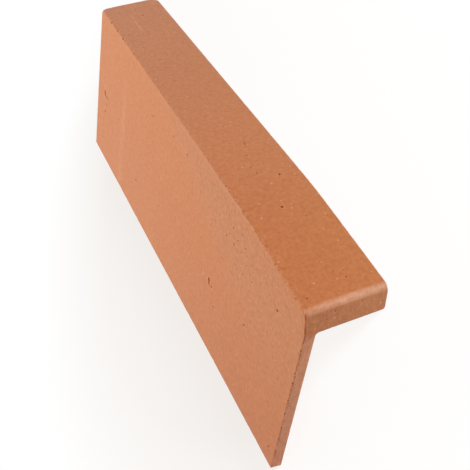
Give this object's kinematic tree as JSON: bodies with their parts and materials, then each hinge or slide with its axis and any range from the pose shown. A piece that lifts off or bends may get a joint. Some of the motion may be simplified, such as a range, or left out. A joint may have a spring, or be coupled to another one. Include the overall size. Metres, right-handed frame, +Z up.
{
  "type": "verge roof tile",
  "caption": "L-shaped fired-clay verge tile: a tall splayed flap with a narrow, thicker flange along its top that dips at the nose.",
  "frame": {"origin": "centre of the tile's footprint, on the surface that it lies on", "axes": "+X along the tile towards its nose, +Y across it from the flap's bottom edge towards the flange, +Z up"},
  "size_m": [0.45, 0.1694, 0.0569],
  "materials": {
    "fired_clay": "unglazed, matt, fine sandy grain with small pits"
  },
  "bodies": {
    "root": {"verge_tile": "fired_clay"}
  },
  "joints": []
}
